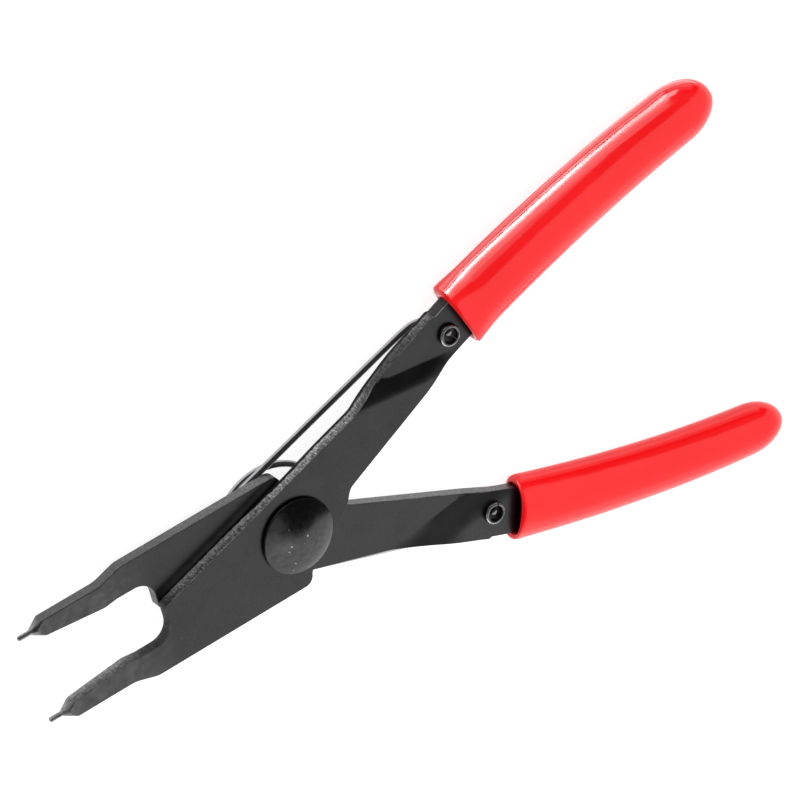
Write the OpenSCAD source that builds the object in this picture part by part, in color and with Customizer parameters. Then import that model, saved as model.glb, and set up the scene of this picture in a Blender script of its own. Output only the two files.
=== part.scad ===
// Internal retaining ring pliers with fixed round tips.
// Two levers stamped from the same blank, one turned over, on one rivet.
// X runs along the tool from the tips to the handles, Z up.
// The origin is on the pivot axis, at the flat end of the rivet's tail.

/* [Levers] */
// Plate thickness of each lever
plate_t = 3; // [2.8:0.1:3.1]
// Running gap between the two plates
plate_gap = 0.1; // [0.08:0.02:0.2]
// Height of the plane between the plates above the rivet's end
mid_z = 6.8; // [6.8:0.1:7.4]
// Outer edge of the jaw's thin end, from the long axis
jaw_out = 12.3; // [12:0.1:12.6]
// Outer edge of the jaw's root, from the long axis
root_out = 14.1; // [13.8:0.1:14.4]
// Bottom of the throat between the jaws, from the pivot
throat_x = 34.5; // [33.5:0.1:35]
// Half width of the tang where it enters the grip
tang_half = 5.9; // [5.7:0.1:6]

/* [Tips] */
// Radius of the round tip
tip_r = 0.6; // [0.45:0.05:0.9]
// Length of the straight part of the tip
tip_len = 2.8; // [2.2:0.1:3.2]
// Reach of the tips from the pivot
tip_reach = 67.2; // [66:0.1:68]
// Tip axis, from the long axis
tip_off = 10.3; // [10:0.1:10.6]
// Half angle of the cone behind the tip
tip_cone = 30; // [25:1:35]

/* [Joggle] */
// Angle of the bend lines to the long axis
bend_ang = 7; // [5:1:9]
// First bend line, distance from the pivot
bend_1 = 22.7; // [22.2:0.1:23.2]
// Second bend line, distance from the pivot
bend_2 = 26.5; // [26:0.1:27]

/* [Rivet] */
// Radius of the shank
shank_r = 4; // [3.5:0.1:4.5]
// Radial clearance of the front lever on the shank
shank_play = 0.05; // [0.02:0.01:0.1]
// Radius of the domed head
head_r = 9; // [8.4:0.1:9.4]
// Height of the head's straight rim
head_rim = 0.7; // [0.5:0.1:1.2]
// Rise of the dome above the rim
head_dome = 2; // [1.4:0.1:2.6]
// Radius of the formed tail
tail_r = 7; // [6:0.1:9]

/* [Spring] */
// Wire radius
wire_r = 0.8; // [0.6:0.05:0.8]
// Radius of the coil at the wire's centre
coil_r = 13.7; // [13.4:0.1:14]
// Centre of the coil on the long axis, ahead of the pivot
coil_x = 0.8; // [0:0.1:1.2]
// Angle of the straight legs to the long axis
leg_ang = 17; // [16.5:0.1:17.5]

/* [Roll pins] */
// Outer radius of the pins
pin_r = 2.65; // [2.4:0.05:2.8]
// Radius of the hollow in the pins
pin_hollow = 1.85; // [1.7:0.05:1.95]
// Width of the slot along the pins
pin_slot = 0.8; // [0.5:0.1:1]
// How far the pins stand out in front
pin_front = 1; // [0.6:0.1:1.4]
// How far the pins stand out behind
pin_back = 0.6; // [0.3:0.1:0.9]

/* [Grips] */
// Half width of the sleeve at its mouth
grip_half = 8; // [7.8:0.1:8.2]
// Half width of the sleeve towards its closed end
grip_tail = 6.7; // [6.5:0.1:6.9]
// Half thickness of the sleeve
grip_thick = 4.4; // [4.2:0.1:4.6]
// Wall of the sleeve
grip_wall = 1.5; // [1.4:0.1:1.6]
// Length of the sleeve along its curve
grip_len = 77; // [76:0.5:80]

/* [Hidden] */
$fn = 64;

half_gap = plate_gap / 2;
plate_lo = half_gap;                 // plate faces above the middle plane
plate_hi = half_gap + plate_t;
joggle = (plate_lo + plate_hi) / 2;  // drop that centres the tang
pin_at = [49.65, 24.55];               // roll pin in the neck
back_z = mid_z - plate_hi;           // rear face of the rear lever
front_z = mid_z + plate_hi;          // front face of the front lever

// ---------- helpers ----------
function unit(v) = v / norm(v);
function wrap(a) = a > 180 ? a - 360 : a < -180 ? a + 360 : a;

// Points of one corner [x, y, radius] between its neighbours
function corner(a, p, b) =
    let (p2 = [p[0], p[1]], r = p[2])
    r == 0 ? [p2] :
    let (u = unit([a[0], a[1]] - p2), v = unit([b[0], b[1]] - p2),
         half = acos(u * v) / 2,
         c = p2 + unit(u + v) * r / sin(half),
         t1 = p2 + u * r / tan(half), t2 = p2 + v * r / tan(half),
         a1 = atan2(t1[1] - c[1], t1[0] - c[0]),
         a2 = atan2(t2[1] - c[1], t2[0] - c[0]),
         turn = wrap(a2 - a1), n = max(2, ceil(abs(turn) / 9)))
    [for (i = [0:n]) c + r * [cos(a1 + turn * i / n), sin(a1 + turn * i / n)]];

// Closed outline with every corner rounded by its own radius
function rounded(pts) =
    let (n = len(pts))
    [for (i = [0:n - 1]) each corner(pts[(i + n - 1) % n], pts[i], pts[(i + 1) % n])];

// ---------- the curve that the handles follow ----------
// Two arcs and a straight end, starting at the grip's mouth
mouth = [55, 27.15];
head_0 = 20; arc_1 = 345; head_1 = 13; arc_2 = 315; head_2 = 6.5;
len_1 = arc_1 * (head_0 - head_1) * PI / 180;
len_2 = arc_2 * (head_1 - head_2) * PI / 180;
function heading(s) =
    s <= 0 ? head_0 :
    s < len_1 ? head_0 - s / arc_1 * 180 / PI :
    s < len_1 + len_2 ? head_1 - (s - len_1) / arc_2 * 180 / PI : head_2;
function arc_step(r, h0, h1) = r * [sin(h0) - sin(h1), cos(h1) - cos(h0)];
end_1 = mouth + arc_step(arc_1, head_0, head_1);
end_2 = end_1 + arc_step(arc_2, head_1, head_2);
function along(s) =
    s <= 0 ? mouth + s * [cos(head_0), sin(head_0)] :
    s < len_1 ? mouth + arc_step(arc_1, head_0, heading(s)) :
    s < len_1 + len_2 ? end_1 + arc_step(arc_2, head_1, heading(s)) :
    end_2 + (s - len_1 - len_2) * [cos(head_2), sin(head_2)];
// A point beside the curve, w to the outside of the handle
function beside(s, w) = along(s) + w * [-sin(heading(s)), cos(heading(s))];

// ---------- lever ----------
tang_end = 70;
tang_tail = 5.2;
function tang_w(s) = tang_half + (tang_tail - tang_half) * s / tang_end;
function stop_pt(p, r) = [p[0], p[1], r];
lever_outline = rounded(concat(
    [[-72, -jaw_out, 0], [-46.2, -jaw_out, 8], [-40.6, -root_out, 6],
     [0.9, -root_out, 2.4], [1.6, -11.2, 2], [14, -0.65, 2],
     [15.85, 3, 3.5], [47, 18.1, 60]],
    [for (s = [2, 12, 22, 32, 42, 52]) stop_pt(beside(s, 0.3 - tang_w(s)), 0)],
    [stop_pt(beside(tang_end, 0.3 - tang_tail), 4), stop_pt(beside(tang_end, tang_tail), 4)],
    [for (s = [52, 42, 32, 22, 12, 2]) stop_pt(beside(s, tang_w(s)), 0)],
    [stop_pt(beside(-6.2, tang_half + 0.2), 0.4), [46.8, 30.2, 0.6], [22.9, 19.9, 12],
     [-throat_x, 1, 1.2], [-throat_x, -7.15, 4.4], [-43.2, -7.2, 3],
     [-46.6, -6.75, 4], [-62, -8.45, 0], [-72, -9.55, 0]]));

// Edge-on shape of the blank across its bend lines
slope = atan(joggle / (bend_2 - bend_1));
shift = plate_t / 2 * tan(slope / 2);
lever_profile = rounded([
    [-120, plate_lo, 0], [bend_1 - shift, plate_lo, 0.5],
    [bend_2 + shift, plate_lo - joggle, 4], [120, plate_lo - joggle, 0],
    [120, plate_hi - joggle, 0], [bend_2 - shift, plate_hi - joggle, 0.5],
    [bend_1 + shift, plate_hi, 4], [-120, plate_hi, 0]]);

// Turned end of the jaw: round tip, small fillet, cone
module tip_turning() {
    k = tan(tip_cone);
    translate([-tip_reach, -tip_off, joggle]) rotate([0, 90, 0])
        rotate_extrude()
            polygon([[0, 0], [tip_r - 0.15, 0], [tip_r, 0.15], [tip_r, tip_len],
                     [tip_r + 0.08, tip_len + 0.25], [tip_r + 0.25, tip_len + 0.5],
                     [tip_r + 0.25 + 7 * k, tip_len + 7.5], [0, tip_len + 7.5]]);
}

// The blank, lying on the middle plane, with its jaw on the -Y side
module lever_blank(bore) {
    difference() {
        intersection() {
            translate([0, 0, -10]) linear_extrude(20) polygon(lever_outline);
            rotate([0, 0, -bend_ang]) rotate([90, 0, 90])
                linear_extrude(320, center = true) polygon(lever_profile);
            union() {
                tip_turning();
                translate([-tip_reach + tip_len + 6.5, -60, -20]) cube([240, 140, 40]);
            }
        }
        translate([0, 0, -10]) cylinder(r = bore, h = 20);
        translate([pin_at[0], pin_at[1], -10]) cylinder(r = pin_r, h = 20);
    }
}

module front_lever() {
    color([0.28, 0.28, 0.29]) translate([0, 0, mid_z]) lever_blank(shank_r + shank_play);
}

module rear_lever() {
    color([0.28, 0.28, 0.29]) translate([0, 0, mid_z]) rotate([180, 0, 0]) lever_blank(shank_r);
}

// ---------- rivet ----------
module pivot_rivet() {
    seat = front_z + 0.1;
    ball = (head_r * head_r + head_dome * head_dome) / (2 * head_dome);
    lip = asin(head_r / ball);
    color([0.25, 0.25, 0.26]) rotate_extrude()
        polygon(concat(
            [[0, 0], [tail_r - 0.6, 0], [tail_r, 0.6], [tail_r, back_z],
             [shank_r, back_z], [shank_r, seat], [head_r - 0.2, seat],
             [head_r, seat + 0.2]],
            [for (i = [0:10]) let (a = lip * (1 - i / 10))
                [ball * sin(a), seat + head_rim + head_dome - ball * (1 - cos(a))]]));
}

// ---------- roll pins ----------
module roll_pin(lean) {
    h = plate_t + pin_front + pin_back;
    difference() {
        cylinder(r = pin_r, h = h);
        translate([0, 0, -1]) cylinder(r = pin_hollow, h = h + 2);
        rotate([0, 0, lean]) translate([0, -pin_slot / 2, -1]) cube([6, pin_slot, h + 2]);
    }
}

pin_z = mid_z - plate_t / 2 - pin_back;

module front_roll_pin() {
    color([0.32, 0.32, 0.33]) translate([pin_at[0], pin_at[1], pin_z]) roll_pin(-50);
}

module rear_roll_pin() {
    color([0.32, 0.32, 0.33]) translate([pin_at[0], -pin_at[1], pin_z]) roll_pin(60);
}

// ---------- return spring ----------
// One leg to each neck, both tangent to the coil; the ends turn up into the pins
top_z = back_z - 0.15 - wire_r;
low_z = wire_r + 0.2;
leg_z = pin_z - wire_r - 0.6;
start_a = 90 + leg_ang;
sweep_a = 360 + 360 - 2 * start_a;
coil_n = 60;
hook = [[38.9, 27.1], [43.3, 28.3], [46.9, 28.3], [48.6, 26.5]];
function bez(a, b, c, t) = (1 - t) * (1 - t) * a + 2 * t * (1 - t) * b + t * t * c;
// Leg from its end inside the pin down to the coil, for the front lever
function leg(z0) =
    let (p = pin_at, c0 = coil_r * [cos(start_a), sin(start_a)] - [coil_x, 0])
    concat(
        [for (z = [pin_z + 3.2, pin_z + 1.2]) [p[0], p[1], z]],
        [for (i = [0:4]) bez([p[0], p[1], pin_z + 0.4], [p[0], p[1], leg_z],
                             [hook[3][0], hook[3][1], leg_z], i / 4)],
        [for (i = [1:5]) let (q = bez(hook[3], hook[2], hook[1], i / 5)) [q[0], q[1], leg_z]],
        [for (i = [1:3]) let (q = bez(hook[1], (hook[1] + hook[0]) / 2, hook[0], i / 3))
            [q[0], q[1], leg_z]],
        [for (i = [1:5]) let (q = hook[0] + (c0 - hook[0]) * i / 6)
            [q[0], q[1], leg_z + (z0 - leg_z) * i / 6]]);
coil_path = [for (i = [0:coil_n]) let (a = start_a + sweep_a * i / coil_n)
    [coil_r * cos(a) - coil_x, coil_r * sin(a), top_z + (low_z - top_z) * min(1, i / coil_n * sweep_a / 380)]];
leg_a = leg(top_z);
leg_b = [for (q = leg(low_z)) [q[0], -q[1], q[2]]];
spring_path = concat(leg_a, coil_path, [for (i = [len(leg_b) - 1:-1:0]) leg_b[i]]);

// Tube swept along a path, its rings carried on without twist
sides = 10;
function tangent(p, i) = unit(p[min(i + 1, len(p) - 1)] - p[max(i - 1, 0)]);
function carried(t, n) = unit(n - (n * t) * t);
function frames(p, i = 0, n = [1, 0, 0]) =
    i >= len(p) ? [] :
    let (t = tangent(p, i), m = carried(t, n))
    concat([[m, cross(t, m)]], frames(p, i + 1, m));
module tube(p, r) {
    f = frames(p);
    n = len(p);
    pts = [for (i = [0:n - 1]) for (j = [0:sides - 1])
        p[i] + r * (cos(360 * j / sides) * f[i][0] + sin(360 * j / sides) * f[i][1])];
    faces = concat(
        [[for (j = [0:sides - 1]) j]],
        [[for (j = [sides - 1:-1:0]) (n - 1) * sides + j]],
        [for (i = [0:n - 2]) for (j = [0:sides - 1]) let (k = (j + 1) % sides)
            each [[i * sides + j, (i + 1) * sides + j, i * sides + k],
                  [i * sides + k, (i + 1) * sides + j, (i + 1) * sides + k]]]);
    polyhedron(pts, faces, convexity = 8);
}

module return_spring() {
    color([0.35, 0.35, 0.36]) tube(spring_path, wire_r);
}

// ---------- grips ----------
// Closed loft of rounded sections along the handle's curve
ring_n = 24;
function pw(v, e) = v < 0 ? -pow(-v, e) : pow(v, e);
function sleeve_w(s) = grip_half + (grip_tail - grip_half) * s / grip_len;
function section(s, a, b) =
    let (c = along(s), h = heading(s))
    [for (j = [0:ring_n - 1]) let (t = 360 * j / ring_n,
        w = a * pw(cos(t), 0.7), z = b * pw(sin(t), 0.7))
        [c[0] - sin(h) * w, c[1] + cos(h) * w, z]];
// Sections that draw in to a round end over the last stretch
function loft(s0, s1, in, tip) =
    let (b = grip_thick - in)
    concat(
        [for (i = [0:9]) let (s = s0 + (s1 - tip - s0) * i / 9) section(s, sleeve_w(s) - in, b)],
        [for (i = [1:6]) let (q = i * 13.8, s = s1 - tip + tip * sin(q))
            section(s, (sleeve_w(s) - in) * cos(q), b * pow(cos(q), 0.8))]);
module skin(rings) {
    n = len(rings);
    pts = [for (r = rings) each r];
    faces = concat(
        [[for (j = [0:ring_n - 1]) j]],
        [[for (j = [ring_n - 1:-1:0]) (n - 1) * ring_n + j]],
        [for (i = [0:n - 2]) for (j = [0:ring_n - 1]) let (k = (j + 1) % ring_n)
            each [[i * ring_n + j, (i + 1) * ring_n + j, i * ring_n + k],
                  [i * ring_n + k, (i + 1) * ring_n + j, (i + 1) * ring_n + k]]]);
    polyhedron(pts, faces, convexity = 6);
}

module grip_sleeve() {
    difference() {
        skin(loft(0, grip_len, 0, 9));
        skin(loft(-2, grip_len - 2, grip_wall, 8));
    }
}

module front_grip() {
    color([0.86, 0.1, 0.11]) translate([0, 0, mid_z]) grip_sleeve();
}

module rear_grip() {
    color([0.86, 0.1, 0.11]) translate([0, 0, mid_z]) rotate([180, 0, 0]) grip_sleeve();
}

front_lever();
rear_lever();
pivot_rivet();
return_spring();
front_roll_pin();
rear_roll_pin();
front_grip();
rear_grip();
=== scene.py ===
import math
import bpy
import numpy as np
from mathutils import Matrix, Vector
from mathutils.geometry import delaunay_2d_cdt


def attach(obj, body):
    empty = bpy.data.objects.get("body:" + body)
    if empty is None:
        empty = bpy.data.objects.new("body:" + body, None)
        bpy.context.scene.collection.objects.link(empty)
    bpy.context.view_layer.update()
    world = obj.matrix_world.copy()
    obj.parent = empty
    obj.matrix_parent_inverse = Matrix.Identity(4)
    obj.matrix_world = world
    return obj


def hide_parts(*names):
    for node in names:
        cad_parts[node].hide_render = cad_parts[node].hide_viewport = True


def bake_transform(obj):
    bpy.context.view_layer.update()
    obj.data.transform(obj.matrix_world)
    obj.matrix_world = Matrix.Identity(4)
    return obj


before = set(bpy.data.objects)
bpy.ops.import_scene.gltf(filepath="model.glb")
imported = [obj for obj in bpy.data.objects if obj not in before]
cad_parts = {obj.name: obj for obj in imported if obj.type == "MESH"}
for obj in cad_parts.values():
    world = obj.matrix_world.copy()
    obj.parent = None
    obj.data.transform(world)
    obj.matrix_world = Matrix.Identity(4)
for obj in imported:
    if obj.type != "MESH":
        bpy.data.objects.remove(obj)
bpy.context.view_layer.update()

MM = 0.001
scene = bpy.context.scene

# ---------------------------------------------------------------- dimensions, mm
PLATE_T, GAP, MID = 3.0, 0.1, 6.8
LO, HI = GAP / 2, GAP / 2 + PLATE_T
JOG = (LO + HI) / 2
JAW_OUT, ROOT_OUT, THROAT = 12.3, 14.1, 34.5
TANG, TANG_TAIL, TANG_END = 5.9, 5.2, 70.0
TIP_R, TIP_LEN, TIP_REACH, TIP_OFF = 0.6, 2.8, 67.2, 10.3
TIP_K = math.tan(math.radians(30))
BEND_A, BEND_1, BEND_2 = math.radians(7), 22.7, 26.5
SHANK, PLAY = 4.0, 0.05
HEAD_R, HEAD_RIM, HEAD_DOME, TAIL_R = 9.0, 0.7, 2.0, 7.0
FACE = 0.072
WIRE, COIL_R, COIL_X, LEG_A = 0.8, 13.7, 0.8, math.radians(17)
PIN = (49.65, 24.55)
PIN_R, PIN_H, PIN_SLOT, PIN_FRONT, PIN_BACK = 2.65, 1.85, 0.8, 1.0, 0.6
PIN_Z = MID - PLATE_T / 2 - PIN_BACK
BACK_Z, FRONT_Z = MID - HI, MID + HI


# ---------------------------------------------------------------- small helpers
def hash01(*k):
    """The same number from 0 to 1 for the same whole numbers."""
    h = 2166136261
    for v in k:
        h = ((h ^ (int(v) & 0xFFFFFFFF)) * 16777619) & 0xFFFFFFFF
        h ^= h >> 13
    return (h & 0xFFFFFF) / 0xFFFFFF


def wave(x, seed):
    """Smooth value noise from -1 to 1 along a line."""
    i = math.floor(x)
    f = x - i
    f = f * f * (3 - 2 * f)
    return 2 * (hash01(i, seed) * (1 - f) + hash01(i + 1, seed) * f) - 1


def wrap(a):
    return (a + math.pi) % (2 * math.pi) - math.pi


def rounded(pts, closed=True, deg=5.0):
    out, n = [], len(pts)
    for i in range(n):
        x, y, r = pts[i]
        p = np.array([x, y], float)
        if r == 0 or (not closed and i in (0, n - 1)):
            out.append(p)
            continue
        u = np.array(pts[(i - 1) % n][:2], float) - p
        v = np.array(pts[(i + 1) % n][:2], float) - p
        u /= np.linalg.norm(u)
        v /= np.linalg.norm(v)
        half = math.acos(max(-1, min(1, float(u @ v)))) / 2
        b = (u + v) / np.linalg.norm(u + v)
        c = p + b * r / math.sin(half)
        t1, t2 = p + u * r / math.tan(half), p + v * r / math.tan(half)
        a1 = math.atan2(t1[1] - c[1], t1[0] - c[0])
        a2 = math.atan2(t2[1] - c[1], t2[0] - c[0])
        turn = wrap(a2 - a1)
        m = max(3, math.ceil(abs(math.degrees(turn)) / deg))
        for k in range(m + 1):
            a = a1 + turn * k / m
            out.append(c + r * np.array([math.cos(a), math.sin(a)]))
    return np.array(out)


# ---------------------------------------------------------------- handle curve
MOUTH = np.array([55.0, 27.15])
H0, H1, H2 = (math.radians(a) for a in (20, 13, 6.5))
A1, A2 = 345.0, 315.0
L1, L2 = A1 * (H0 - H1), A2 * (H1 - H2)


def arc(r, a, b):
    return r * np.array([math.sin(a) - math.sin(b), math.cos(b) - math.cos(a)])


E1 = MOUTH + arc(A1, H0, H1)
E2 = E1 + arc(A2, H1, H2)


def heading(s):
    if s <= 0:
        return H0
    if s < L1:
        return H0 - s / A1
    if s < L1 + L2:
        return H1 - (s - L1) / A2
    return H2


def along(s):
    h = heading(s)
    if s <= 0:
        return MOUTH + s * np.array([math.cos(H0), math.sin(H0)])
    if s < L1:
        return MOUTH + arc(A1, H0, h)
    if s < L1 + L2:
        return E1 + arc(A2, H1, h)
    return E2 + (s - L1 - L2) * np.array([math.cos(H2), math.sin(H2)])


def beside(s, w):
    h = heading(s)
    return along(s) + w * np.array([-math.sin(h), math.cos(h)])


def tang_w(s):
    return TANG + (TANG_TAIL - TANG) * s / TANG_END


# ---------------------------------------------------------------- lever blank
def pt(p, r):
    return (float(p[0]), float(p[1]), r)


def outline(neck):
    return rounded(
    [(-TIP_REACH, -JAW_OUT, 0), (-46.2, -JAW_OUT, 8), (-40.6, -ROOT_OUT, 6),
     (0.9, -ROOT_OUT, 2.4), (1.6, -11.2, 2), (14, -0.65, 2), (15.85, 3, 3.5), (47, 18.1, 60)]
    + [pt(beside(s, 0.3 - tang_w(s)), 0) for s in (2, 12, 22, 32, 42, 52)]
    + [pt(beside(TANG_END, 0.3 - TANG_TAIL), 4), pt(beside(TANG_END, TANG_TAIL), 4)]
    + [pt(beside(s, tang_w(s)), 0) for s in (52, 42, 32, 22, 12, 2)]
    + [pt(beside(-5.7, TANG - 0.3), 0.3), (46.85, 30.62, 0.35)] + neck + [
       (-THROAT, 1, 1.2), (-THROAT, -7.15, 4.4), (-43.2, -7.2, 3), (-46.6, -6.75, 4),
       (-62, -8.45, 0), (-TIP_REACH, -9.02, 0)])


NECK_FRONT = [(45.0, 29.85, 4), (36.4, 26.45, 40), (27.9, 22.55, 14), (21.4, 19.3, 14)]
NECK_REAR = [(45.0, 29.72, 4), (22.9, 19.9, 12)]


def dense(loop):
    """The outline with no step longer than the detail there needs."""
    out, n = [], len(loop)
    for i in range(n):
        a, b = loop[i], loop[(i + 1) % n]
        x = (a[0] + b[0]) / 2
        step = 0.22 if x < -56 else 0.5 if x < 52 else 2.0
        m = max(1, math.ceil(np.linalg.norm(b - a) / step))
        for k in range(m):
            out.append(a + (b - a) * k / m)
    return np.array(out)


def outward(loop):
    d = np.roll(loop, -1, 0) - loop
    d /= np.linalg.norm(d, axis=1)[:, None]
    e = np.stack([d[:, 1], -d[:, 0]], 1)
    n = e + np.roll(e, 1, 0)
    return n / np.linalg.norm(n, axis=1)[:, None]


SLOPE = math.atan(JOG / (BEND_2 - BEND_1))
SHIFT = PLATE_T / 2 * math.tan(SLOPE / 2)
TOP = rounded([(-400, HI, 0), (BEND_1 + SHIFT + 0.7, HI, 6), (BEND_2 - SHIFT, HI - JOG, 0.6), (400, HI - JOG, 0)], False, 1.0)
BOT = rounded([(-400, LO, 0), (BEND_1 - SHIFT, LO, 0.6), (BEND_2 + SHIFT, LO - JOG, 19), (400, LO - JOG, 0)], False, 1.0)
EASE = {"span": (60.0, 70.0), "reach": (-3.0, 3.0)}


def across(x, y):
    return x * math.sin(BEND_A) + y * math.cos(BEND_A)


def level(x, y, f):
    """Height in the bent blank at share f from its low face to its high face."""
    d = across(x, y)
    t, b = np.interp(d, TOP[:, 0], TOP[:, 1]), np.interp(d, BOT[:, 0], BOT[:, 1])
    sharp = b + (t - b) * f
    u = x * math.cos(BEND_A) - y * math.sin(BEND_A)
    w = min(1.0, max(0.0, (u - EASE["span"][0]) / (EASE["span"][1] - EASE["span"][0])))
    if w == 0:
        return sharp
    d0, d1 = BEND_1 + EASE["reach"][0], BEND_2 + EASE["reach"][1]
    q = min(1.0, max(0.0, (d - d0) / (d1 - d0)))
    soft = LO + PLATE_T * f - JOG * (1 - math.cos(math.pi * q)) / 2
    return sharp + (soft - sharp) * w * w * (3 - 2 * w)


def level_normal(x, y, f):
    e = 0.02
    g = (level(x + e, y, f) - level(x - e, y, f)) / (2 * e), (level(x, y + e, f) - level(x, y - e, f)) / (2 * e)
    n = np.array([-g[0], -g[1], 1.0])
    return n / np.linalg.norm(n)


def tip_radius(x):
    t = x + TIP_REACH
    if t < 0.15:
        return TIP_R - 0.15 + t
    if t < TIP_LEN:
        return TIP_R
    if t < TIP_LEN + 0.5:
        u = (t - TIP_LEN) / 0.5
        return TIP_R + 0.25 * u * u
    return TIP_R + 0.25 + (t - TIP_LEN - 0.5) * TIP_K


# rows over the edge: inset from the outline, share of the thickness, slope of the normal
ROWS = [(0.14, 1.0, 1.0), (0.05, 0.988, 0.75), (0.01, 0.965, 0.35), (0.0, 0.93, 0.0),
        (0.0, 0.84, 0.0), (0.0, 0.75, 0.0), (0.0, 0.66, 0.0), (0.0, 0.57, 0.0), (0.0, 0.48, 0.0),
        (0.01, 0.40, 0.0), (0.0, 0.33, 0.0), (0.0, 0.2, 0.0), (0.01, 0.08, -0.3), (0.03, 0.035, -0.6),
        (0.07, 0.012, -0.85), (0.13, 0.0, -1.0)]


def lever_mesh(name, bore, over, seed, neck, ease, reach, proud):
    EASE["span"], EASE["reach"] = ease, reach
    loop = dense(outline(neck))
    nrm = outward(loop)
    n = len(loop)
    length = np.concatenate([[0], np.cumsum(np.linalg.norm(np.roll(loop, -1, 0) - loop, axis=1))])
    verts, vn, wallv, fracv, worn_and_glint_v = [], [], [], [], []

    def add(x, y, f, hor, ver, wall, worn_and_glint=0.0):
        z = float(level(x, y, f))
        if hor is None:
            nn = level_normal(x, y, f) * ver
        else:
            nn = np.array([hor[0], hor[1], 0.0]) * math.sqrt(max(0, 1 - ver * ver)) + np.array([0, 0, ver])
        dy, dz = y + TIP_OFF, z - JOG
        if x < -50:
            r, q = tip_radius(x), math.hypot(dy, dz)
            if q > r:
                dy, dz = dy * r / q, dz * r / q
                k = (tip_radius(x + 0.02) - tip_radius(x - 0.02)) / 0.04
                nn = np.array([-k, dy / r, dz / r])
                nn /= np.linalg.norm(nn)
                y, z = dy - TIP_OFF, dz + JOG
                wall, worn_and_glint = 0.35, 0.0
            if x < -TIP_REACH + 1e-6 and q <= TIP_R - 0.14:
                nn = np.array([-1.0, 0, 0])
        verts.append((x, y, z))
        vn.append(nn)
        wallv.append(wall)
        fracv.append(f)
        worn_and_glint_v.append(worn_and_glint)
        return len(verts) - 1

    rings = []
    for k, (inset, f, ver) in enumerate(ROWS):
        ring = []
        for i in range(n):
            out = proud * min(1.0, max(0.0, (loop[i][0] - 2) / 10)) * min(1.0, max(0.0, (58 - loop[i][0]) / 4))
            out *= (1 - 0.55 * math.exp(-((loop[i][0] - 30) / 4) ** 2)) * min(1.0, max(0.0, (0.95 - f) / 0.5)) if loop[i][1] > 0.44 * loop[i][0] + 6 else 0.0
            x, y = loop[i] - nrm[i] * (inset - out)
            if loop[i][0] <= -TIP_REACH + 1e-9:
                x = -TIP_REACH
            if 0.45 < f < 0.9 and -52 < x < 56:
                j = 0.035 * (wave(length[i] * 1.7 + 31 * k, seed) + 0.6 * wave(length[i] * 4.1 + 17 * k, seed + 5)) - 0.02
                x, y = x + nrm[i][0] * j, y + nrm[i][1] * j
            hor = None if abs(ver) == 1 else nrm[i]
            # rows 1, 2 and 13 carry the edge mark: wear on the rounding that also paints a thin highlight line
            ring.append(add(x, y, f, hor, ver, 0.0 if abs(ver) == 1 else 1.0, 1.0 if k in (1, 2, 13) else 0.0))
        rings.append(ring)
    faces, kinds = [], []
    for a, b in zip(rings[:-1], rings[1:]):
        for i in range(n):
            j = (i + 1) % n
            faces.append((a[i], b[i], b[j], a[j]))
            kinds.append(0)

    holes = [((0.0, 0.0), bore, 64), (PIN, PIN_R, 40)]

    def cap(ring, f, flip):
        flat = [Vector((loop[i][0], loop[i][1])) - Vector((nrm[i][0], nrm[i][1])) * (ROWS[0][0] if f == 1 else ROWS[-1][0]) for i in range(n)]
        for i in range(n):
            if loop[i][0] <= -TIP_REACH + 1e-9:
                flat[i].x = -TIP_REACH
        pts = list(flat)
        edges = [(i, (i + 1) % n) for i in range(n)]
        owner = list(ring)
        hole_ids = []
        for c, r, m in holes:
            base = len(pts)
            for k in range(m):
                a = 2 * math.pi * k / m
                pts.append(Vector((c[0] + r * math.cos(a), c[1] + r * math.sin(a))))
                owner.append(None)
            edges += [(base + k, base + (k + 1) % m) for k in range(m)]
            hole_ids.append((base, m))
        inside = []

        after = np.roll(loop, -1, 0)
        rise = np.where(after[:, 1] == loop[:, 1], 1e-12, after[:, 1] - loop[:, 1])

        def free(p, gap):
            cross = (loop[:, 1] > p[1]) != (after[:, 1] > p[1])
            at = loop[:, 0] + (after[:, 0] - loop[:, 0]) * (p[1] - loop[:, 1]) / rise
            if np.count_nonzero(cross & (p[0] < at)) % 2 == 0:
                return False
            d = np.hypot(loop[:, 0] - p[0], loop[:, 1] - p[1]).min()
            return d > gap and all(math.hypot(p[0] - c[0], p[1] - c[1]) > r + gap for c, r, m in holes)

        for u in np.arange(-90, 175, 2.6):
            for d in list(np.arange(-40, BEND_1 - 3.4, 2.6)) + list(np.arange(BEND_1 - 3.0, BEND_2 + 3.01, 0.3)) + list(np.arange(BEND_2 + 3.6, 90, 2.6)):
                x = u * math.cos(BEND_A) + d * math.sin(BEND_A)
                y = -u * math.sin(BEND_A) + d * math.cos(BEND_A)
                if x > 56:
                    continue
                if -58 < x and free((x, y), 0.45):
                    inside.append((x, y))
        for x in np.arange(-TIP_REACH + 0.2, -58, 0.22):
            for y in np.arange(-JAW_OUT, -8, 0.3):
                if free((x, y), 0.3):
                    inside.append((x, y))
        for p in inside:
            pts.append(Vector(p))
            owner.append(None)
        vs, es, fs, ov, oe, of_ = delaunay_2d_cdt(pts, edges, [list(range(n))], 1, 1e-7)
        where = {}

        def vertex(k):
            if k not in where:
                src = list(ov[k])
                own = next((owner[o] for o in src if owner[o] is not None), None)
                if own is None:
                    own = add(vs[k].x, vs[k].y, f, None, 1.0 if f == 1 else -1.0, 0.0)
                    for o in src:
                        owner[o] = own
                where[k] = own
            return where[k]

        for tri in fs:
            c = sum((vs[i] for i in tri), Vector((0, 0))) / len(tri)
            if any((c.x - h[0][0]) ** 2 + (c.y - h[0][1]) ** 2 < (h[1] * 0.999) ** 2 for h in holes):
                continue
            ids = [vertex(i) for i in tri]
            faces.append(tuple(reversed(ids)) if flip else tuple(ids))
            kinds.append(0)
        return [[owner[b + k] for k in range(m)] for b, m in hole_ids]

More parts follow.
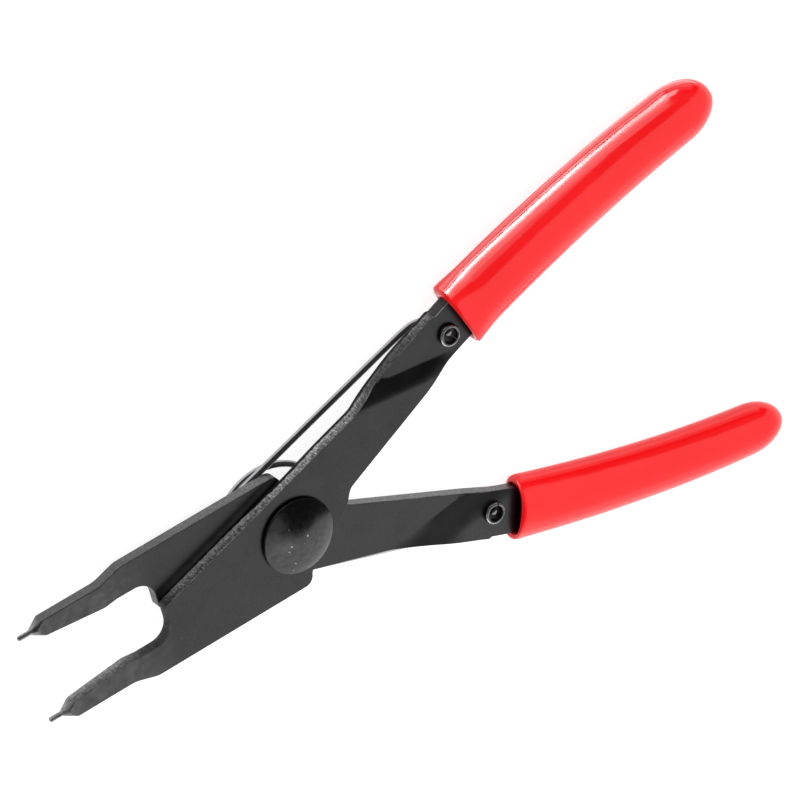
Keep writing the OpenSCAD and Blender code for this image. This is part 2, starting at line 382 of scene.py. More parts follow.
    top_holes = cap(rings[0], 1.0, False)
    low_holes = cap(rings[-1], 0.0, True)
    for h, (a, b) in enumerate(zip(top_holes, low_holes)):
        m = len(a)
        for k in range(m):
            j = (k + 1) % m
            faces.append((a[k], a[j], b[j], b[k]))
            kinds.append(h + 1)

    sign = -1.0 if over else 1.0
    co = [(x * MM, sign * y * MM, (MID + sign * z) * MM) for x, y, z in verts]
    me = bpy.data.meshes.new(name)
    me.from_pydata(co, [], faces)
    me.update()
    for p in me.polygons:
        p.use_smooth = True
    loops = np.zeros((len(me.loops), 3), np.float32)
    for p, kind in zip(me.polygons, kinds):
        for li in p.loop_indices:
            v = me.loops[li].vertex_index
            if kind:
                c = holes[kind - 1][0]
                q = np.array([c[0] - verts[v][0], c[1] - verts[v][1], 0.0])
                q /= np.linalg.norm(q)
            else:
                q = vn[v]
            loops[li] = (q[0], sign * q[1], sign * q[2])
    me.normals_split_custom_set([tuple(map(float, q)) for q in loops])
    for key, data in (("wall", wallv), ("thick", fracv), ("worn_and_glint", worn_and_glint_v)):
        at = me.attributes.new(key, "FLOAT", "POINT")
        at.data.foreach_set("value", np.array(data, np.float32))
    ob = bpy.data.objects.new(name, me)
    scene.collection.objects.link(ob)
    return ob


# ---------------------------------------------------------------- turned pieces
def revolve(profile, seg, centre=(0, 0), gap=0.0, lean=0.0, close=False):
    """Quads turned round a vertical line; a gap leaves a slot in mm of width at radius 1."""
    verts, faces, m = [], [], len(profile)
    full = gap == 0
    cols = seg if full else seg + 1
    for i in range(cols):
        for r, z in profile:
            if full:
                a = 2 * math.pi * i / seg
            else:
                h = math.asin(min(0.95, gap / 2 / max(r, 1e-6)))
                a = lean + h + (2 * math.pi - 2 * h) * i / seg
            verts.append(((centre[0] + r * math.cos(a)) * MM, (centre[1] + r * math.sin(a)) * MM, z * MM))
    steps = m if close else m - 1
    for i in range(seg):
        j = (i + 1) % cols if full else i + 1
        for k in range(steps):
            q = (k + 1) % m
            faces.append((i * m + k, j * m + k, j * m + q, i * m + q))
    if not full:
        faces.append(tuple(range(m)))
        faces.append(tuple((cols - 1) * m + k for k in reversed(range(m))))
    return verts, faces


def solid(name, verts, faces, angle=None):
    me = bpy.data.meshes.new(name)
    me.from_pydata(verts, [], faces)
    me.validate()
    me.update()
    for p in me.polygons:
        p.use_smooth = True
    if angle is not None:
        me.set_sharp_from_angle(angle=math.radians(angle))
    ob = bpy.data.objects.new(name, me)
    scene.collection.objects.link(ob)
    return ob


def merged(ob, dist=1e-7):
    import bmesh
    bm = bmesh.new()
    bm.from_mesh(ob.data)
    bmesh.ops.remove_doubles(bm, verts=bm.verts, dist=dist)
    bmesh.ops.dissolve_degenerate(bm, edges=bm.edges, dist=1e-9)
    bmesh.ops.recalc_face_normals(bm, faces=bm.faces)
    bm.to_mesh(ob.data)
    bm.free()
    ob.data.update()
    return ob


def fillet(cx, cz, r, a0, a1, n):
    return [(cx + r * math.cos(math.radians(a0 + (a1 - a0) * i / n)), cz + r * math.sin(math.radians(a0 + (a1 - a0) * i / n))) for i in range(n + 1)]


def rivet():
    seat = FRONT_Z + 0.1
    ball = (HEAD_R ** 2 + HEAD_DOME ** 2) / (2 * HEAD_DOME)
    lip = math.asin((HEAD_R - 0.25) / ball)
    top = seat + HEAD_RIM + HEAD_DOME
    prof = [(0.0, 0.35), (1.2, 0.3), (2.4, 0.12), (3.2, 0.0), (TAIL_R - 0.9, 0.0)]
    prof += fillet(TAIL_R - 0.7, 0.7, 0.7, -90, 0, 6)[1:]
    prof += [(TAIL_R, BACK_Z - 0.25), (TAIL_R - 0.1, BACK_Z - 0.05), (TAIL_R - 0.3, BACK_Z), (SHANK, BACK_Z), (SHANK, seat), (HEAD_R - 0.45, seat)]
    prof += fillet(HEAD_R - 0.25, seat + 0.25, 0.25, -90, 0, 4)[1:]
    rim = seat + HEAD_RIM + HEAD_DOME - ball * (1 - math.cos(lip))
    prof += [(HEAD_R, rim - 0.3), (HEAD_R - 0.02, rim - 0.18), (HEAD_R - 0.09, rim - 0.07)]
    for i in range(25):
        a = lip * (1 - i / 24)
        prof.append((ball * math.sin(a), top - ball * (1 - math.cos(a))))
    v, f = revolve(prof, 128)
    off = (0.3 * MM, -0.4 * MM)
    v = [(x + off[0], y + off[1], z) if z >= seat * MM - 1e-9 and math.hypot(x, y) > (SHANK + 0.01) * MM or z > (seat + 0.4) * MM else (x, y, z) for x, y, z in v]
    return merged(solid("rivet", v, f))


def roll_pin(name, y, lean):
    slot = 0.3
    z0, z1 = PIN_Z, PIN_Z + PLATE_T + PIN_FRONT + PIN_BACK
    c = 0.22
    prof = [(PIN_H + 0.03, z0), (PIN_R - c, z0), (PIN_R - 0.06, z0 + 0.09), (PIN_R, z0 + c), (PIN_R, z1 - 0.55), (PIN_R - 0.03, z1 - 0.3),
            (PIN_R - 0.1, z1 - 0.12), (PIN_R - 0.2, z1 - 0.03), (PIN_R - 0.32, z1), (PIN_H + 0.2, z1), (PIN_H + 0.08, z1 - 0.05),
            (PIN_H + 0.02, z1 - 0.14), (PIN_H, z1 - 0.3), (PIN_H, z0 + 0.15)]
    v, f = revolve(prof, 72, (PIN[0], y), slot, math.radians(lean), close=True)
    ob = merged(solid(name, v, f, 40))
    # lip mark: 1 on a thin ring at the outer top rim for a painted highlight, 0.2 and 0.1 on the rest of the
    # top, -1 down the bore for painted shade of the hollow
    lip = ob.data.attributes.new("lip", "FLOAT", "POINT")
    for i, q in enumerate(ob.data.vertices):
        r = math.hypot(q.co.x / MM - PIN[0], q.co.y / MM - y)
        z = q.co.z / MM
        on = 0.0
        if z > z1 - 0.2:
            on = 1.0 if abs(r - PIN_R + 0.17) < 0.08 else 0.2 if r > PIN_H + 0.15 else 0.1
        elif r < PIN_H + 0.1:
            on = -1.0
        lip.data[i].value = on
    return ob


# ---------------------------------------------------------------- spring
def bez(a, b, c, t):
    return (1 - t) ** 2 * a + 2 * t * (1 - t) * b + t * t * c


def spring_path():
    top_z, low_z = BACK_Z - 0.15 - WIRE, WIRE + 0.2
    leg_z = PIN_Z - WIRE - 0.6
    a0 = math.pi / 2 + LEG_A
    sweep = 4 * math.pi - 2 * a0
    hook = [np.array(p) for p in ((38.9, 27.1), (43.3, 28.3), (46.9, 28.3), (48.6, 26.5))]

    def leg(z0, side):
        p = np.array(PIN) + np.array([-0.2, side])
        c0 = COIL_R * np.array([math.cos(a0), math.sin(a0)]) - np.array([COIL_X, 0])
        out = [(p[0], p[1], z) for z in np.linspace(PIN_Z + 4.45, PIN_Z + 0.5, 12)]
        for i in range(13):
            out.append(tuple(bez(np.array([p[0], p[1], PIN_Z + 0.4]), np.array([p[0], p[1], leg_z]), np.array([hook[3][0], hook[3][1], leg_z]), i / 12)))
        for i in range(1, 15):
            q = bez(hook[3], hook[2], hook[1], i / 14)
            out.append((q[0], q[1], leg_z))
        for i in range(1, 7):
            q = hook[1] + (hook[0] - hook[1]) * i / 6
            out.append((q[0], q[1], leg_z))
        for i in range(1, 24):
            q = hook[0] + (c0 - hook[0]) * i / 24
            out.append((q[0], q[1], leg_z + (z0 - leg_z) * i / 24))
        return out

    coil = []
    for i in range(221):
        a = a0 + sweep * i / 220
        coil.append((COIL_R * math.cos(a) - COIL_X, COIL_R * math.sin(a), top_z + (low_z - top_z) * min(1, i / 220 * math.degrees(sweep) / 380)))
    b = [(x, -y, z) for x, y, z in leg(low_z, -0.5)]
    return np.array(leg(top_z, 0.85) + coil + b[::-1])


def smooth_path(p, rounds=6):
    p = p.copy()
    for _ in range(rounds):
        p[1:-1] = 0.25 * p[:-2] + 0.5 * p[1:-1] + 0.25 * p[2:]
    return p


def tube(name, path, r, sides=20):
    n = len(path)
    t = np.gradient(path, axis=0)
    t /= np.linalg.norm(t, axis=1)[:, None]
    m = np.array([1.0, 0, 0])
    verts, faces = [], []
    ends = []
    for i in range(n):
        m = m - (m @ t[i]) * t[i]
        m /= np.linalg.norm(m)
        b = np.cross(t[i], m)
        ends.append((m.copy(), b))

    def ring(c, k, rr):
        for j in range(sides):
            a = 2 * math.pi * j / sides
            verts.append(tuple((c + rr * (math.cos(a) * ends[k][0] + math.sin(a) * ends[k][1])) * MM))

    ring(path[0], 0, r * 0.8)
    ring(path[0] + t[0] * 0.1, 0, r * 0.96)
    for i in range(1, n - 1):
        ring(path[i], i, r)
    ring(path[-1] - t[-1] * 0.1, n - 1, r * 0.96)
    ring(path[-1], n - 1, r * 0.8)
    rows = len(verts) // sides
    for i in range(rows - 1):
        for j in range(sides):
            k = (j + 1) % sides
            faces.append((i * sides + j, i * sides + k, (i + 1) * sides + k, (i + 1) * sides + j))
    faces.append(tuple(reversed(range(sides))))
    faces.append(tuple((rows - 1) * sides + j for j in range(sides)))
    return merged(solid(name, verts, faces, 50))


# ---------------------------------------------------------------- grips
def quad(a, b, c, u):
    """A value through a, b and c at u of 0, a half and 1."""
    return a * (1 - u) * (1 - 2 * u) + 4 * b * u * (1 - u) + c * u * (2 * u - 1)


def grip(name, sign, out, inn, s0, s1, thick, tip_out, tip_inn, seed, square, lip, skew):
    ring_n = 96
    wall = 1.5

    def ring(s, ao, ai, b, low, n, lumps=0.0):
        c, h = along(s), heading(s)
        pts = []
        for j in range(ring_n):
            t = 2 * math.pi * j / ring_n
            cw, zz = math.cos(t), math.sin(t)
            w = (ao if cw > 0 else ai) * math.copysign(abs(cw) ** (2 / n), cw)
            z = (b if zz > 0 else low) * math.copysign(abs(zz) ** (2 / n), zz)
            if lumps:
                g = lumps * (wave(s * 0.11 + 3.1 * math.cos(t), seed) + 0.5 * wave(s * 0.31 + 2.3 * math.sin(t), seed + 3))
                w, z = w * (1 + g / max(ao, 1)), z * (1 + g / max(b, 1))
            k = skew * max(0.0, -cw) * math.exp(-max(0.0, s - s0) / 4)
            pts.append((c[0] - math.sin(h) * w - math.cos(h) * k, sign * (c[1] + math.cos(h) * w - math.sin(h) * k), MID + z))
        return pts

    def skin(s):
        u = min(1.0, max(0.0, s / 80))
        flare = 0.12 * math.exp(-max(0.0, s - s0) / 2.5)
        slim = 1.1 * math.exp(-max(0.0, s - s0) / 7)
        return quad(*out, u) + flare, quad(*inn, u) + flare, thick + flare, thick - slim

    def shape(s):
        """Roundness of the section: squarer towards the mouth."""
        return 2 + square * math.exp(-(max(0.0, s - s0) / 4.5) ** 2)

    def bore(s):
        """The hollow: close to the tang's edges at the mouth, wider inside."""
        ao, ai, b, low = skin(max(s, s0 + 3))
        u = min(1.0, max(0.0, (s - s0) / 14))
        u = u * u * (3 - 2 * u)
        return 6.2 + (ao - wall - 6.2) * u, 5.9 + (ai - wall - 5.9) * u, b - wall, 1.7 + (low - wall - 1.7) * u, 4 - 2 * u

    def drawn(q):
        """Width left at share q of the way round the end."""
        return math.sqrt(max(0.0, 1 - q * q)) if q > 0 else 1.0

    rings = []
    # hollow, from deep inside to the mouth
    for i in range(8):
        q = math.radians(84 * (1 - i / 8))
        ao, ai, b, low, n = bore(s1 - 11.5)
        rings.append(ring(s1 - 11.5 + 8 * math.sin(q), ao * math.cos(q), ai * math.cos(q), b * math.cos(q) ** 0.8, low * math.cos(q) ** 0.8, n))
    for s in np.linspace(s1 - 11.6, s0 + 0.8, 48):
        rings.append(ring(s, *bore(s)))
    # rolled lip
    inner, outer = bore(s0 + 0.75), skin(s0 + lip)
    for k in range(1, 14):
        a = math.pi * k / 14
        f = (1 + math.cos(a)) / 2
        roll = 0.75 if f > 0.5 else lip
        rings.append(ring(s0 + roll * (1 - math.sin(a)), *(outer[i] + (inner[i] - outer[i]) * f for i in range(4)), shape(s0 + lip) + (inner[4] - shape(s0 + lip)) * f))
    # outer skin
    start = s1 - max(tip_out, tip_inn)
    for s in list(np.linspace(s0 + lip, s0 + 9, 24)) + list(np.linspace(s0 + 9.8, start, 78)):
        rings.append(ring(s, *skin(s), shape(s), 0.03))
    for i in range(1, 33):
        s = start + (s1 - start) * math.sin(math.radians(88.2 * i / 32))
        ao, ai, b, low = skin(s)
        flat = drawn(1 - (s1 - s) / 7.5) ** 0.85
        rings.append(ring(s, ao * drawn(1 - (s1 - s) / tip_out), ai * drawn(1 - (s1 - s) / tip_inn), b * flat, low * flat, 2, 0.03))
    verts = [tuple(c * MM for c in p) for r in rings for p in r]
    faces = []
    m = len(rings)
    for i in range(m - 1):
        for j in range(ring_n):
            k = (j + 1) % ring_n
            faces.append((i * ring_n + j, i * ring_n + k, (i + 1) * ring_n + k, (i + 1) * ring_n + j))
    faces.append(tuple(reversed(range(ring_n))))
    faces.append(tuple((m - 1) * ring_n + j for j in range(ring_n)))
    return merged(solid(name, verts, faces))


# ---------------------------------------------------------------- materials
def material(name):
    m = bpy.data.materials.new(name)
    m.use_nodes = True
    t = m.node_tree
    t.nodes.clear()
    o = t.nodes.new("ShaderNodeOutputMaterial")
    b = t.nodes.new("ShaderNodeBsdfPrincipled")
    t.links.new(b.outputs["BSDF"], o.inputs["Surface"])
    return m, t, b


def node(t, kind, **values):
    n = t.nodes.new(kind)
    for k, v in values.items():
        if k in n.inputs.keys():
            n.inputs[k].default_value = v
        else:
            setattr(n, k, v)
    return n


def noise(t, vec, scale, detail=4.0, rough=0.55):
    n = node(t, "ShaderNodeTexNoise", Scale=scale, Detail=detail, Roughness=rough)
    t.links.new(vec, n.inputs["Vector"])
    return n.outputs["Fac"]


def remap(t, v, a, b, c, d):
    n = node(t, "ShaderNodeMapRange")
    n.inputs["From Min"].default_value = a
    n.inputs["From Max"].default_value = b
    n.inputs["To Min"].default_value = c
    n.inputs["To Max"].default_value = d
    t.links.new(v, n.inputs["Value"])
    return n.outputs["Result"]


def math2(t, op, a, b):
    n = node(t, "ShaderNodeMath", operation=op)
    for i, v in enumerate((a, b)):
        if isinstance(v, (int, float)):
            n.inputs[i].default_value = v
        else:
            t.links.new(v, n.inputs[i])
    return n.outputs[0]


def ramp(t, v, stops):
    n = t.nodes.new("ShaderNodeValToRGB")
    while len(n.color_ramp.elements) < len(stops):
        n.color_ramp.elements.new(0.5)
    for e, (p, c) in zip(n.color_ramp.elements, stops):
        e.position = p
        e.color = (*c, 1) if len(c) == 3 else c
    t.links.new(v, n.inputs["Fac"])
    return n.outputs["Color"]


def mix(t, f, a, b):
    n = node(t, "ShaderNodeMix", data_type="RGBA")
    for key, v in ((0, f), (6, a), (7, b)):
        if isinstance(v, (int, float)):
            n.inputs[key].default_value = v
        elif isinstance(v, tuple):
            n.inputs[key].default_value = (*v, 1)
        else:
            t.links.new(v, n.inputs[key])
    return n.outputs[2]


def grey(v):
    return (v, v, v * 1.02)


def bump(t, b, height, strength, distance):
    n = node(t, "ShaderNodeBump", Strength=strength, Distance=distance)
    t.links.new(height, n.inputs["Height"])
    t.links.new(n.outputs["Normal"], b.inputs["Normal"])
    return n


def attribute(t, name):
    n = t.nodes.new("ShaderNodeAttribute")
    n.attribute_name = name
    return n.outputs["Fac"]


def coords(t):
    return t.nodes.new("ShaderNodeTexCoord").outputs["Object"]


def stretched(t, p, x, y, z):
    n = node(t, "ShaderNodeMapping")
    n.inputs["Scale"].default_value = (x, y, z)
    t.links.new(p, n.inputs["Vector"])
    return n.outputs["Vector"]


def steel_lever(name, rough_edge):
    m, t, b = material(name)
    p = coords(t)
    wall, thick = attribute(t, "wall"), attribute(t, "thick")
    fine, broad = noise(t, p, 2600, 3), noise(t, p, 130, 4)
    pits = noise(t, p, 900, 2)
    face = mix(t, remap(t, broad, 0.3, 0.7, 0, 1), grey(FACE * 0.86), grey(FACE * 1.1))
    face = mix(t, remap(t, fine, 0.35, 0.7, 0, 0.4), face, grey(FACE * 1.35))
    face = mix(t, remap(t, pits, 0.74, 0.79, 0, 0.5), face, grey(0.22))
    part = t.nodes.new("ShaderNodeSeparateXYZ")
    t.links.new(p, part.inputs[0])
    face = mix(t, math2(t, "MULTIPLY", remap(t, part.outputs["X"], -0.034, -0.046, 0, 1), remap(t, noise(t, p, 420, 4), 0.35, 0.65, 0.25, 1)), face, grey(FACE * 1.9))
    # sheared edge: torn band towards the high face, smooth band towards the low face; on the front lever the
    # foot of the wall is painted near black as shade where it sits on the rear lever
    grain = stretched(t, p, 1, 1, 0.3)
    torn, torn2 = noise(t, grain, 2600, 5, 0.65), noise(t, grain, 5600, 3, 0.6)
    tear = math2(t, "ADD", math2(t, "MULTIPLY", torn, 0.55), math2(t, "MULTIPLY", torn2, 0.45))
    rough_col = ramp(t, tear, [(0.36, grey(0.07)), (0.46, grey(0.17)), (0.54, grey(0.42)), (0.64, grey(0.95))])
    mild = remap(t, noise(t, p, 1200, 4), 0.35, 0.65, 0, 1)
    sep = t.nodes.new("ShaderNodeSeparateXYZ")
    t.links.new(p, sep.inputs[0])
    zone = math2(t, "MULTIPLY", math2(t, "ADD", remap(t, sep.outputs["X"], -0.034, -0.029, 0.05, 1), remap(t, sep.outputs["X"], -0.042, -0.047, 0, 0.3)), math2(t, "ADD", remap(t, sep.outputs["X"], 0.018, 0.03, 1, 0.18), remap(t, sep.outputs["X"], 0.039, 0.044, 0, 0.3)))
    if rough_edge:
        line = math2(t, "ADD", thick, math2(t, "MULTIPLY", math2(t, "SUBTRACT", noise(t, p, 900, 3), 0.5), 0.3))
        line = math2(t, "ADD", line, remap(t, sep.outputs["X"], -0.014, 0.0, 0.3, 0))
        jaw = mix(t, remap(t, sep.outputs["X"], -0.042, -0.048, 0, 1), mix(t, mild, grey(0.035), grey(0.075)), mix(t, mild, grey(0.12), grey(0.19)))
        rough_col = mix(t, zone, jaw, rough_col)
        rough_col = mix(t, remap(t, thick, 0.45, 0.95, 0, 0.45), rough_col, grey(0.07))
        rough_col = mix(t, math2(t, "MULTIPLY", zone, remap(t, thick, 0.6, 0.25, 0, 0.4)), rough_col, grey(0.9))
        # the band below the line is painted shade: near black at the foot of the wall against the rear lever
        edge_col = mix(t, remap(t, line, 0.3, 0.4, 0, 1), mix(t, mild, grey(0.025), grey(0.05)), rough_col)
        tang = remap(t, sep.outputs["X"], 0.0466, 0.0474, 0, 1)
        edge_col = mix(t, tang, edge_col, mix(t, mild, grey(0.07), grey(0.1)))
    else:
        zone = remap(t, sep.outputs["X"], -0.045, 0.0, 0.45, 1)
        edge_col = mix(t, remap(t, tear, 0.4, 0.7, 0, 0.25), mix(t, mild, grey(0.1), grey(0.15)), rough_col)
        edge_col = mix(t, zone, grey(0.06), edge_col)
    # edge mark: bright metal on the rounding rows, partly wear and partly a painted highlight line along the
    # edge
    wear_and_glint = math2(t, "MULTIPLY", attribute(t, "worn_and_glint"), remap(t, noise(t, p, 240, 3), 0.45, 0.62, 0, 0.7))
    if rough_edge:
        wear_and_glint = math2(t, "MULTIPLY", wear_and_glint, remap(t, sep.outputs["X"], 0.046, 0.048, 0.6, 1.2))
    else:
        wear_and_glint = math2(t, "MULTIPLY", wear_and_glint, remap(t, sep.outputs["X"], 0.018, 0.026, 0, 1))
    col = mix(t, wear_and_glint, mix(t, wall, face, edge_col), grey(0.55))
    col = mix(t, remap(t, part.outputs["X"], -0.0615, -0.0642, 0, 1), col, mix(t, mild, grey(0.22), grey(0.36)))
    t.links.new(col, b.inputs["Base Color"])
    b.inputs["Metallic"].default_value = 1.0
    t.links.new(math2(t, "ADD", remap(t, broad, 0.3, 0.7, 0.31, 0.37), math2(t, "MULTIPLY", wall, 0.42 if rough_edge else 0.1)), b.inputs["Roughness"])
    height = math2(t, "ADD", math2(t, "MULTIPLY", fine, 0.25), math2(t, "MULTIPLY", math2(t, "MULTIPLY", tear, wall), 1.4 if rough_edge else 0.4))
    bump(t, b, height, 0.3, 0.0001)
    return m


def steel_plain(name, low, high, rough, speck=0.0, scale=900, darker_above=None):
    m, t, b = material(name)
    p = coords(t)
    n1, n2 = noise(t, p, scale, 4), noise(t, p, scale * 3.1, 3)
    col = mix(t, remap(t, n1, 0.35, 0.65, 0, 1), grey(low), grey(high))
    # darker colour above the given height: the wire ends inside the pin bores
    if darker_above:
        part = t.nodes.new("ShaderNodeSeparateXYZ")
        t.links.new(p, part.inputs[0])
        col = mix(t, remap(t, part.outputs["Z"], darker_above, darker_above + 0.0006, 0, 1), col, mix(t, n2, grey(0.14), grey(0.26)))
    if speck:
        col = mix(t, remap(t, noise(t, p, 1000, 1), 0.73, 0.77, 0, speck), col, grey(0.5))
    t.links.new(col, b.inputs["Base Color"])
    b.inputs["Metallic"].default_value = 1.0
    t.links.new(remap(t, n1, 0.3, 0.7, rough - 0.03, rough + 0.04), b.inputs["Roughness"])
    bump(t, b, n2, 0.12, 0.00005)
    return m


def pin_steel(name):
    m, t, b = material(name)
    p = coords(t)
    lip = attribute(t, "lip")
    scratch = noise(t, p, 2400, 4)
    dark = mix(t, remap(t, noise(t, p, 1100, 4), 0.35, 0.65, 0, 1), grey(0.06), grey(0.11))
    # down the bore the colour is near black: painted shade of the hollow
    dark = mix(t, remap(t, lip, -1, 0, 0, 1), grey(0.015), dark)
    # bright thin ring at the outer top rim: painted highlight
    bright = mix(t, remap(t, scratch, 0.4, 0.62, 0, 1), grey(0.4), grey(0.85))
    t.links.new(mix(t, remap(t, lip, 0, 1, 0, 1), dark, bright), b.inputs["Base Color"])
    b.inputs["Metallic"].default_value = 1.0
    t.links.new(remap(t, scratch, 0.3, 0.7, 0.26, 0.38), b.inputs["Roughness"])
    bump(t, b, scratch, 0.12, 0.00005)
    return m


def vinyl():
    m, t, b = material("grip_vinyl")
    p = coords(t)
    broad, fine = noise(t, p, 45, 3), noise(t, p, 1400, 3)
    col = mix(t, remap(t, broad, 0.35, 0.65, 0, 1), (0.87, 0.0035, 0.0055), (0.92, 0.0045, 0.007))
    t.links.new(col, b.inputs["Base Color"])
    t.links.new(remap(t, broad, 0.3, 0.7, 0.1, 0.14), b.inputs["Roughness"])
    b.inputs["Specular IOR Level"].default_value = 0.5
    height = math2(t, "ADD", math2(t, "MULTIPLY", noise(t, p, 60, 1), 1.0), math2(t, "MULTIPLY", fine, 0.003))
    bump(t, b, height, 0.05, 0.0003)
    return m


def floor_material():
    m, t, b = material("floor")
    p = coords(t)
    col = mix(t, remap(t, noise(t, p, 6, 3), 0.3, 0.7, 0, 1), (0.34, 0.34, 0.34), (0.36, 0.36, 0.36))
    t.links.new(col, b.inputs["Base Color"])
    b.inputs["Roughness"].default_value = 0.75
    b.inputs["Specular IOR Level"].default_value = 0.2
    b.inputs["Emission Color"].default_value = (1, 1, 1, 1)
    b.inputs["Emission Strength"].default_value = 0.88
    return m


# ---------------------------------------------------------------- build
front = lever_mesh("lever_front", SHANK + PLAY, False, 11, NECK_FRONT, (37.0, 46.5), (-9.0, 0.3), 0.38)
rear = lever_mesh("lever_rear", SHANK, True, 29, NECK_REAR, (39.0, 28.5), (-0.6, 9.0), 0.0)
head = rivet()
pin_f = roll_pin("pin_front", PIN[1], -50)
pin_r = roll_pin("pin_rear", -PIN[1], 60)
wire = tube("spring_wire", smooth_path(spring_path()), WIRE)
grip_f = grip("grip_front", 1, (9.6, 8.85, 8.95), (8.36, 8.24, 6.66), -1.9, 77.0, 4.4, 13, 9.5, 7, 0.8, 0.8, 0.0)
grip_r = grip("grip_rear", -1, (8.15, 6.95, 6.7), (8.05, 7.5, 6.3), 0.4, 77.7, 4.4, 10, 10, 19, 0.0, 1.5, 0.9)

vinyl_mat = vinyl()
for ob, mat, body, cad, slot in (
        (front, steel_lever("lever_steel_front", True), "front", "front_lever", "lever_steel"),
        (rear, steel_lever("lever_steel_rear", False), "rear", "rear_lever", "lever_steel"),
        (head, steel_plain("rivet_steel", 0.055, 0.075, 0.22, 0.6), "rear", "pivot_rivet", "rivet_steel"),
        (pin_f, pin_steel("pin_steel_front"), "front", "front_roll_pin", "pin_steel"),
        (pin_r, pin_steel("pin_steel_rear"), "rear", "rear_roll_pin", "pin_steel"),
        (grip_f, vinyl_mat, "front", "front_grip", "grip_vinyl"),
        (grip_r, vinyl_mat, "rear", "rear_grip", "grip_vinyl"),
        (wire, steel_plain("spring_steel", 0.34, 0.42, 0.2, scale=260, darker_above=0.0062), None, "return_spring", "spring_steel")):
    ob.data.materials.append(mat)
    if body:
        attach(ob, body)
    else:
        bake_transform(ob)
    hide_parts(cad)

# ---------------------------------------------------------------- floor, light, camera
me = bpy.data.meshes.new("floor")
S = 4.0
me.from_pydata([(-S, -S, 0), (S, -S, 0), (S, S, 0), (-S, S, 0)], [], [(0, 1, 2, 3)])
floor = bpy.data.objects.new("floor", me)
floor.location = (0, 0, -0.00005)
scene.collection.objects.link(floor)
me.materials.append(floor_material())

world = bpy.data.worlds.new("studio")
scene.world = world
world.use_nodes = True
wt = world.node_tree
wt.nodes.clear()
wo = wt.nodes.new("ShaderNodeOutputWorld")
bg = wt.nodes.new("ShaderNodeBackground")
tc = wt.nodes.new("ShaderNodeTexCoord")
sp = wt.nodes.new("ShaderNodeSeparateXYZ")
wt.links.new(tc.outputs["Generated"], sp.inputs[0])
sky = ramp(wt, sp.outputs["Z"], [(0.0, grey(0.95)), (0.05, grey(0.6)), (0.14, grey(0.12)), (0.4, grey(0.06))])
wt.links.new(sky, bg.inputs["Color"])
bg.inputs["Strength"].default_value = 1.0
wt.links.new(bg.outputs[0], wo.inputs[0])


def panel(name, azimuth, elevation, dist, width, height, radiance, diffuse=True, glossy=True):
    a, e = math.radians(azimuth), math.radians(elevation)
    d = Vector((math.cos(a) * math.cos(e), math.sin(a) * math.cos(e), math.sin(e)))
    li = bpy.data.lights.new(name, "AREA")
    li.shape = "RECTANGLE"
    li.size, li.size_y = width, height
    li.energy = radiance * 4 * width * height
    ob = bpy.data.objects.new(name, li)
    ob.location = Vector((0.03, 0, 0.005)) + d * dist
    ob.rotation_euler = d.to_track_quat("Z", "Y").to_euler()
    ob.visible_diffuse, ob.visible_glossy = diffuse, glossy
    scene.collection.objects.link(ob)
    return ob


def wall_panel(name, azimuth, dist, left, right, low, high, radiance):
    a = math.radians(azimuth)
    d, side = Vector((math.cos(a), math.sin(a), 0)), Vector((-math.sin(a), math.cos(a), 0))
    ob = panel(name, azimuth, 0, dist, right - left, high - low, radiance)
    ob.location = d * dist + side * (left + right) / 2 + Vector((0, 0, (low + high) / 2))
    return ob


def floor_card(name, x, y, turn, width, depth, radiance):
    """A card lying on the floor that shines upwards."""
    ob = panel(name, 0, 0, 1.0, width, depth, radiance, diffuse=False)
    ob.location = (x, y, 0.00002)
    ob.rotation_euler = (math.pi, 0, math.radians(turn))
    ob.visible_camera = False
    return ob


def only(name, obs):
    """A set of pieces that a light is turned on for."""
    c = bpy.data.collections.new(name)
    for ob in obs:
        c.objects.link(ob)
    return c


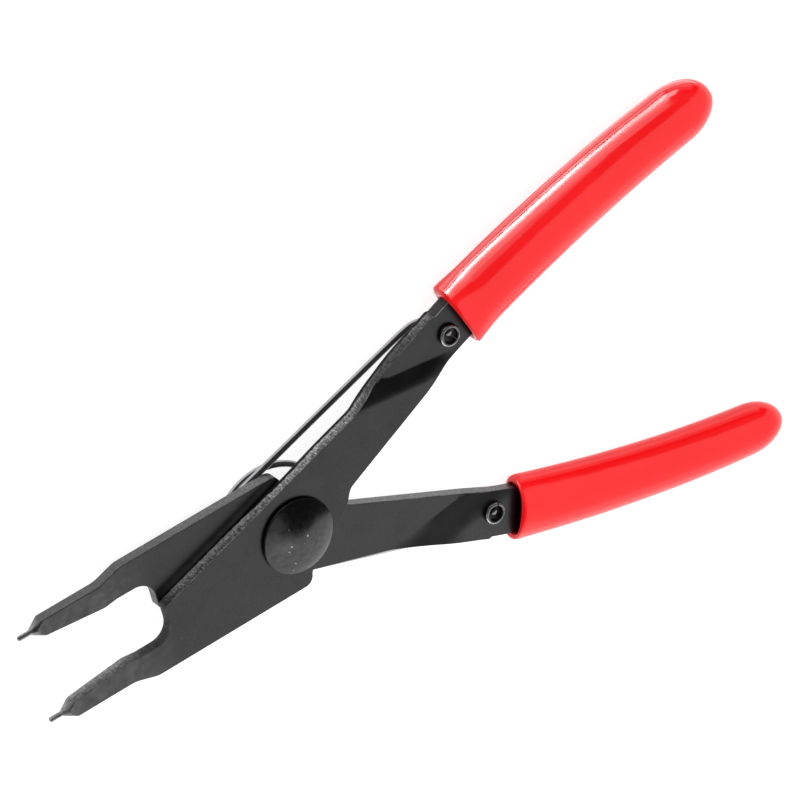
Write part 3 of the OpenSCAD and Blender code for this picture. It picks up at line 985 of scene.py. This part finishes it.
metal = only("metal_and_floor", (front, rear, pin_f, pin_r, wire, floor))
dome = only("rivet_only", (head,))
sleeves = only("sleeves", (grip_f, grip_r))
front_sleeve = only("front_sleeve_only", (grip_f,))
for ob, group in (
        (wall_panel("soft_front", -95, 3.0, -3.6, 9.0, 0.02, 4.65, 1.0), metal),
        (wall_panel("soft_dome", -95, 3.0, -3.6, 6.2, 0.02, 5.5, 1.0), dome),
        (panel("soft_left", -118, 66, 1.2, 0.9, 0.36, 0.7), dome),
        (panel("soft_top", -170, 83, 1.2, 0.5, 0.4, 0.4), dome),
        (wall_panel("soft_sleeve", -41, 1.5, -4.0, 2.2, 0.02, 3.65, 0.64), sleeves),
        (wall_panel("soft_sleeve_low", -60, 1.5, -2.5, 2.5, 0.02, 0.8, 0.25), sleeves),
        (panel("strip_low", 92, 9, 1.2, 0.5, 0.3, 7.5, diffuse=False), sleeves),
        (panel("strip", 92, 31, 1.2, 0.46, 0.36, 22.0, diffuse=False), sleeves),
        (panel("strip_end", 78.5, 31, 1.2, 0.12, 0.36, 9.0, diffuse=False), sleeves),
        (floor_card("bounce", 0.092, 0.0735, 6.5, 0.13, 0.05, 1.9), front_sleeve),
        (panel("tip_end", 57, 31, 1.2, 0.28, 0.36, 6.0, diffuse=False), front_sleeve),
        (panel("tip_low", 73, 9, 1.2, 0.3, 0.3, 3.5, diffuse=False), front_sleeve),
        (panel("tip_strip", 70, 31, 1.2, 0.26, 0.36, 11.0, diffuse=False), front_sleeve),
        (panel("tip_glow_1", 68.5, 44, 1.2, 0.44, 0.16, 5.0, diffuse=False), front_sleeve),
        (panel("tip_glow_2", 65, 52, 1.2, 0.46, 0.16, 2.2, diffuse=False), front_sleeve),
        (panel("tip_glow_3", 57, 60, 1.2, 0.46, 0.2, 1.4, diffuse=False), front_sleeve),
        (panel("strip_glow_1", 91, 44, 1.2, 0.5, 0.16, 8.0, diffuse=False), sleeves),
        (panel("strip_glow_2", 88, 52, 1.2, 0.5, 0.16, 1.4, diffuse=False), sleeves),
        (panel("strip_glow_3", 80, 60, 1.2, 0.5, 0.2, 1.0, diffuse=False), sleeves),
        (panel("strip_glow_4", 62, 69, 1.2, 0.4, 0.24, 0.9, diffuse=False), sleeves),
        (panel("edge_light", 105, 30, 1.2, 0.8, 0.5, 3.2, diffuse=False), only("front_lever_only", (front,))),
        (panel("soft_over", 20, 86, 1.6, 1.1, 1.1, 0.3, diffuse=False), only("rear_lever_only", (rear,))),
        (panel("side_low", 45, 8, 1.2, 0.7, 0.3, 1.0, diffuse=False), sleeves),
        (panel("side_mid", 45, 22, 1.2, 0.7, 0.3, 0.5, diffuse=False), sleeves)):
    ob.light_linking.receiver_collection = group
panel("fill", 60, 80, 2.2, 3.0, 3.0, 1.8, glossy=False)

cam = bpy.data.cameras.new("camera")
cam.sensor_width = 36
cam.lens = 4603.83 * 36 / 800
cam.clip_start, cam.clip_end = 0.01, 20
view = bpy.data.objects.new("camera", cam)
right = Vector((0.79688606, -0.21390198, 0.56499429))
up = Vector((0.46915774, 0.80831475, -0.3556941))
back = Vector((-0.38060954, 0.54851911, 0.74448852))
view.matrix_world = Matrix((
    (right.x, up.x, back.x, -0.35064216),
    (right.y, up.y, back.y, 0.57012983),
    (right.z, up.z, back.z, 0.76063077),
    (0, 0, 0, 1)))
scene.collection.objects.link(view)
scene.camera = view
scene.view_settings.view_transform = "Standard"
scene.view_settings.look = "None"
